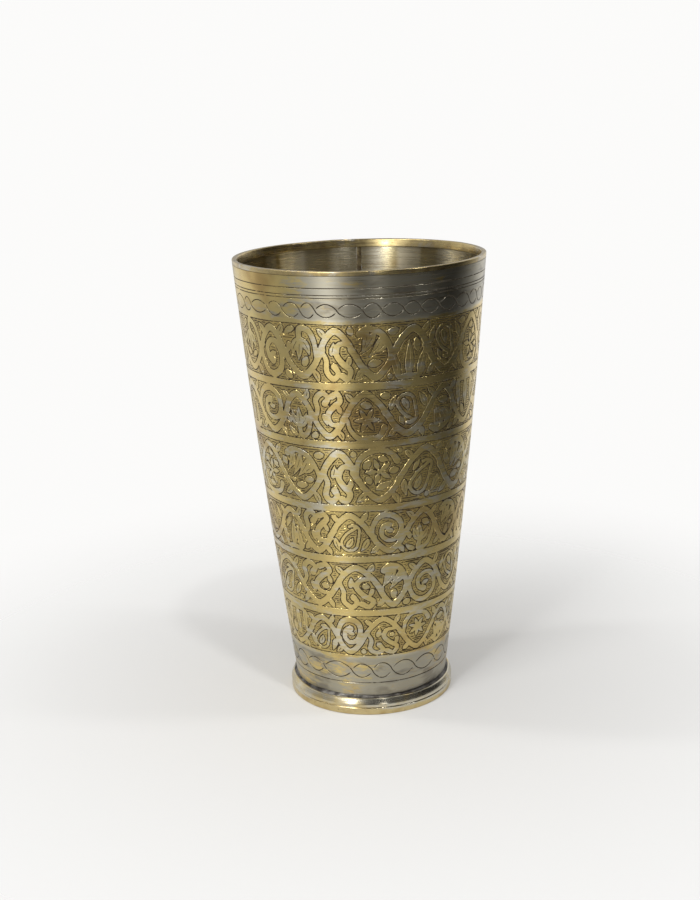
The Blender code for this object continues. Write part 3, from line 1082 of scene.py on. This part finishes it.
def solder_material():
    """Dull grey solder with flux left dark in its hollows."""
    material = new_material("dark_solder")
    nodes = Nodes(material.node_tree)
    place = nodes.add("ShaderNodeTexCoord").outputs["Object"]
    lumps = nodes.noise(place, 260.0, 4.0, 0.6)
    cloud = nodes.noise(place, 80.0, 3.0)
    colour = nodes.mix(nodes.ramp(lumps, 0.38, 0.66), SOLDER_DARK, SOLDER_PALE)
    colour = nodes.mix(nodes.ramp(cloud, 0.45, 0.7, 0, 0.5), colour, FLUX)
    roughness = nodes.ramp(lumps, 0.3, 0.7, 0.62, 0.38)
    return finish_metal(material, nodes, colour, roughness, lumps, 0.00012)


# ---------------------------------------------------------------- the other pieces


def make_rim_hoop(material):
    face_bottom = WALL_TOP + 0.12
    inner = wall_outside(HOOP_BOTTOM) - WALL_THICKNESS - 1.0
    points = [
        (wall_outside(face_bottom), face_bottom),
        (RIM_RADIUS, HEIGHT),
        (inner + 0.5, HEIGHT),
        (inner, HOOP_BOTTOM),
        (wall_outside(HOOP_BOTTOM) - WALL_THICKNESS - 0.1, HOOP_BOTTOM),
        (wall_outside(face_bottom) - WALL_THICKNESS - 0.1, face_bottom),
    ]
    outline = rounded(points, (0.12, 0.45, 0.45, 0.2, 0.05, 0.05), steps=5)

    def wobble(a, r, z):
        lift = 0.05 * math.sin(3 * a + 1) + 0.03 * math.sin(7 * a)
        high = np.clip((z - HOOP_BOTTOM) / (HEIGHT - HOOP_BOTTOM), 0, 1)
        return hand_made(a, z), -abs(lift) * high

    return turned("brass_rim_hoop", outline, material, wobble=wobble)


def make_foot_ring(material):
    """A plain lower band, a fine step, a rounded bead, and the ledge inside that carries the wall."""
    band, crest, top = FOOT_RADIUS - 0.3, FOOT_RADIUS, FOOT_RADIUS - 1.1
    bore_top = wall_outside(FOOT_TOP) + 0.1
    bore_low = wall_outside(LEDGE) + 0.1
    rise = crest - band + 0.05
    bead = []
    for t in np.linspace(0.12, math.pi, 12):
        r = band - 0.05 + rise * math.sin(t) ** 0.8 - 0.75 * (1 - math.cos(t)) / 2
        bead.append((r, 2.9 + 3.0 * t / math.pi))
    points = [(FOOT_OPENING, 0), (band, 0), (band, 2.55), (band - 0.22, 2.7), *bead, (top, FOOT_TOP - 0.12),
              (top - 0.25, FOOT_TOP), (bore_top, FOOT_TOP), (bore_low, LEDGE),
              (FOOT_OPENING, LEDGE)]
    radii = [0.35, 0.4, 0.12, 0] + [0] * len(bead) + [0, 0.1, 0.1, 0.05, 0.25]
    outline = rounded(points, radii)

    def wobble(a, r, z):
        high = np.clip(z / FOOT_TOP, 0, 1)
        uneven = 0.06 * math.sin(2 * a + 0.4) + 0.04 * math.sin(5 * a) + 0.02 * math.sin(17 * a)
        return uneven * high, (0.05 * math.sin(4 * a) + 0.03 * math.sin(9 * a + 1)) * high**2

    return turned("turned_foot_ring", outline, material, wobble=wobble)


def make_base_plate(material):
    side = wall_outside(PLATE_EDGE) - WALL_THICKNESS - PLATE_GAP
    low_side = wall_outside(WALL_BOTTOM) - WALL_THICKNESS - PLATE_GAP
    flat = side - PLATE_BEND
    top = [(r, PLATE_EDGE + (1 - (r / side) ** 2)) for r in np.linspace(flat, 0.0, 14)]
    under = [(r, z - PLATE_THICKNESS) for r, z in top[::-1]]
    turns = np.linspace(math.pi / 2, 0, 7)[:-1]
    bend = [
        (flat + PLATE_BEND * math.sin(t), PLATE_EDGE - PLATE_BEND + PLATE_BEND * math.cos(t)) for t in turns
    ]
    points = [(low_side - 1.0, WALL_BOTTOM), (low_side, WALL_BOTTOM), *bend, *top, *under,
              (side - 1.0, 4.9)]
    return turned("pressed_base_plate", points, material, columns=144, sharp=40)


def lumpy(amount, seed):
    """An uneven hand for a solder fillet: lumps that grow away from its root."""
    phase = np.random.default_rng(seed).uniform(0, 6.28, 6)

    def wobble(a, r, z):
        lump = sum(math.sin(k * a + p) for k, p in zip((2, 3, 5, 9, 14, 31), phase)) / 4
        out = np.clip((r - r.min()) / np.ptp(r), 0, 1)
        high = np.clip((z - z.min()) / np.ptp(z), 0, 1)
        return amount * lump * out, amount * lump * high * 1.2

    return wobble


def make_foot_solder(material):
    low = FOOT_TOP - 0.05
    root = wall_outside(low) - 0.05
    outline = [(root, low), (root + 1.15, low), (root + 0.85, low + 0.2), (root + 0.5, low + 0.42),
               (root + 0.3, low + 0.7), (root + 0.22, low + 0.95), (root + 0.1, low + 0.95)]
    return turned("foot_solder_fillet", outline, material, columns=288, wobble=lumpy(0.16, 3), sharp=60)


def make_base_solder(material):
    low = PLATE_EDGE - 0.05
    wall = wall_outside(low) - WALL_THICKNESS + 0.03
    turns = np.linspace(0.0, math.pi / 2, 8)
    arc = [(wall - 2.1 + 2.0 * math.cos(t), low + 2.1 - 2.0 * math.sin(t)) for t in turns]
    outline = [(wall, low), (wall + 0.22, low + 2.1), *arc]
    return turned("base_solder_fillet", outline, material, columns=216, wobble=lumpy(0.22, 4), sharp=60)


def make_side_seam(material):
    """The brazed strip, filed nearly flush, uneven in width."""
    rows = np.linspace(WALL_BOTTOM, WALL_TOP, 160)
    verts, faces = [], []
    rng = np.random.default_rng(8)
    edge = np.cumsum(rng.normal(0, 0.015, (len(rows), 2)), axis=0)
    edge -= edge.mean(0)
    for z, (left, right) in zip(rows, np.clip(edge, -0.05, 0.05)):
        radius = wall_outside(z)
        for share in (-1, -0.4, 0.4, 1):
            ragged = (left if share < 0 else right) / radius * abs(share)
            a = SEAM_AT + share * (WALL_HALF_GAP * 1.01) + ragged
            crown = 0.03 if abs(share) < 1 else -0.05
            r = radius + float(hand_made(a, z)) + crown
            verts.append((r * math.cos(a), r * math.sin(a), z))
            r_in = radius + float(hand_made(a, z)) - WALL_THICKNESS + (0.0 if abs(share) < 1 else 0.05)
            verts.append((r_in * math.cos(a), r_in * math.sin(a), z))
    for k in range(len(rows) - 1):
        a, b = k * 8, (k + 1) * 8
        for s in range(3):
            faces.append((a + 2 * s, b + 2 * s, b + 2 * s + 2, a + 2 * s + 2))
            faces.append((a + 2 * s + 1, a + 2 * s + 3, b + 2 * s + 3, b + 2 * s + 1))
        faces.append((a, a + 1, b + 1, b))
        faces.append((a + 6, b + 6, b + 7, a + 7))
    for k, turn in ((0, 1), (len(rows) - 1, -1)):
        a = k * 8
        faces.append([a, a + 2, a + 4, a + 6, a + 7, a + 5, a + 3, a + 1][::turn])
    strip = new_object("side_seam_strip", np.array(verts), faces, material)
    strip.data.shade_smooth()
    strip.data.set_sharp_from_angle(angle=math.radians(40))
    return strip


def make_pieces():
    """Every visible piece, with the CAD node that it stands for and the record's material slot."""
    bare = plain_metal("bare_brass_rim", HOOP_FRESH, HOOP_DEEP, 150, 170, 0.0, 0.27, 0.3)
    foot = plain_metal("turned_foot_brass", FOOT_FRESH, FOOT_DEEP, 2.2, 8.0, 0.12, 0.20, 0.9, 0.3)
    base = plain_metal("pressed_base_brass", BRASS_LIGHT, BRASS_DEEP, 6.0, 9.0, 0.06, 0.34, 1.7, 0.3)
    braze = plain_metal("filed_braze", BRAZE_FRESH, BRAZE_DEEP, 0.0, 170.0, -0.05, 0.42, 2.3)
    solder = solder_material()
    return [
        (make_wall(wall_material()), "body_wall", "tinned_brass"),
        (make_rim_hoop(bare), "rim_hoop", "bare_brass"),
        (make_foot_ring(foot), "foot_ring", "foot_brass"),
        (make_base_plate(base), "base_plate", "tinned_brass"),
        (make_foot_solder(solder), "foot_solder", "solder"),
        (make_base_solder(solder), "base_solder", "solder"),
        (make_side_seam(braze), "side_seam_braze", "braze"),
    ]


# ---------------------------------------------------------------- studio


def make_camera():
    """Close, a hand's breadth above the rim, rolled a little."""
    pitch, yaw, roll = math.radians(15.42), math.radians(-0.64), math.radians(-1.89)
    forward = Vector((math.sin(yaw) * math.cos(pitch), math.cos(yaw) * math.cos(pitch), -math.sin(pitch)))
    level = Vector((math.cos(yaw), -math.sin(yaw), 0))
    above = level.cross(forward)
    right = math.cos(roll) * level + math.sin(roll) * above
    up = -math.sin(roll) * level + math.cos(roll) * above
    data = bpy.data.cameras.new("camera")
    data.sensor_width = 36
    data.lens = 54.94
    data.clip_start, data.clip_end = 0.01, 20
    camera = bpy.data.objects.new("camera", data)
    turn = Matrix((right, up, -forward)).transposed()
    camera.matrix_world = Matrix.Translation(Vector((0, -490.2, 227.7)) * MM) @ turn.to_4x4()
    bpy.context.scene.collection.objects.link(camera)
    bpy.context.scene.camera = camera


def soft_box(name, place, target, width, height, watts):
    data = bpy.data.lights.new(name, "AREA")
    data.shape = "RECTANGLE"
    data.size, data.size_y = width, height
    data.energy = watts
    light = bpy.data.objects.new(name, data)
    light.location = place
    light.rotation_euler = (Vector(target) - Vector(place)).to_track_quat("-Z", "Y").to_euler()
    bpy.context.scene.collection.objects.link(light)
    return light


def surroundings(nodes, direction):
    """How bright the room round the tumbler looks in each direction of the compass: a window at the front
    left, pale screens behind and at the left, and a dark room at the front right."""
    apart = nodes.add("ShaderNodeSeparateXYZ", {0: direction})
    away = nodes.math("MULTIPLY", apart.outputs["Y"], -1.0)
    level = round_the_axis(nodes, apart.outputs["X"], away, ROOM, ROOM_PEAK)
    return nodes.math("MULTIPLY", level, ROOM_PEAK)


WHITE = (1, 0.995, 0.985, 1)
BACKDROP = 0.97
DULL_LEVEL = 0.55
FLOOR_COLOUR = (0.68, 0.676, 0.667, 1)
FLOOR_FADE = 0.045
FLOOR_RADIUS = 0.26
ROOM_PEAK = 2.0
# Degrees from the front, clockwise seen from above towards the right, and brightness.
ROOM = (
    (-180, 0.45), (-166, 0.6), (-150, 0.95), (-118, 0.92), (-98, 0.54), (-75, 0.42), (-57, 0.42),
    (-47, 0.70), (-38, 1.02), (-26, 1.05), (-16, 0.5), (-6, 0.10), (20, 0.08), (48, 0.10), (66, 0.06),
    (84, 0.02), (106, 0.02), (124, 0.3), (142, 1.0), (158, 1.0), (170, 0.6), (180, 0.45),
)


def make_world():
    """White to the camera, an even lower level for dull surfaces, and the room's pattern for mirrored rays."""
    world = bpy.data.worlds.new("studio")
    bpy.context.scene.world = world
    world.use_nodes = True
    nodes = Nodes(world.node_tree)
    direction = nodes.add("ShaderNodeTexCoord").outputs["Generated"]
    height = nodes.add("ShaderNodeSeparateXYZ", {0: direction}).outputs["Z"]
    fade = nodes.ramp(height, 0.45, 0.95, 1.0, 0.35)
    mirrored = nodes.math("MULTIPLY", surroundings(nodes, direction), fade)
    rays = nodes.add("ShaderNodeLightPath").outputs
    level = nodes.choose(rays["Is Glossy Ray"], DULL_LEVEL, mirrored)
    level = nodes.choose(rays["Is Camera Ray"], level, BACKDROP)
    shade = nodes.tree.nodes["Background"]
    shade.inputs["Color"].default_value = WHITE
    nodes.tree.links.new(level, shade.inputs["Strength"])


def make_floor():
    """A plain pale floor, the same to every ray. It thins out into the white round it."""
    bpy.ops.mesh.primitive_circle_add(vertices=96, radius=FLOOR_RADIUS, fill_type="NGON")
    floor = bpy.context.object
    floor.name = "floor"
    material = new_material("pale_floor")
    nodes = Nodes(material.node_tree)
    shader = material.node_tree.nodes["Principled BSDF"]
    shader.inputs["Base Color"].default_value = FLOOR_COLOUR
    shader.inputs["Roughness"].default_value = 0.9
    shader.inputs["Specular IOR Level"].default_value = 0.1
    place = nodes.add("ShaderNodeNewGeometry").outputs["Position"]
    reach = nodes.add("ShaderNodeVectorMath", {0: place}, operation="LENGTH").outputs["Value"]
    there = nodes.ramp(reach, FLOOR_FADE, FLOOR_RADIUS, 1.0, 0.0)
    nodes.tree.links.new(there, shader.inputs["Alpha"])
    floor.data.materials.append(material)


def make_lights():
    data = bpy.data.lights.new("key", "SUN")
    data.energy = 0.9
    data.angle = math.radians(24)
    key = bpy.data.objects.new("key", data)
    key.rotation_euler = Vector((0.62, 0.72, -0.85)).to_track_quat("-Z", "Y").to_euler()
    bpy.context.scene.collection.objects.link(key)
    soft_box("window_left", (-0.36, -0.66, 0.40), (0, 0, 0.10), 0.09, 0.5, 1.7)
    soft_box("overhead", (0.16, -0.42, 1.0), (0, 0, 0.08), 0.06, 0.07, 2.0)
    soft_box("window_right", (0.17, -0.66, 0.14), (0, 0, 0.06), 0.04, 0.24, 0.12)
    for degrees, watts in ((76, 1.0), (-92, 1.2)):
        far, turn = 0.42, math.radians(degrees)
        place = (far * math.sin(turn), -far * math.cos(turn), 0.80)
        soft_box("skylight", place, (0, 0, 0.16), 0.05, 0.30, watts)


def main():
    make_camera()
    make_world()
    make_lights()
    make_floor()
    bpy.context.scene.view_settings.view_transform = "Standard"
    for piece, node, slot in make_pieces():
        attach(piece, "root")
        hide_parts(node)


main()
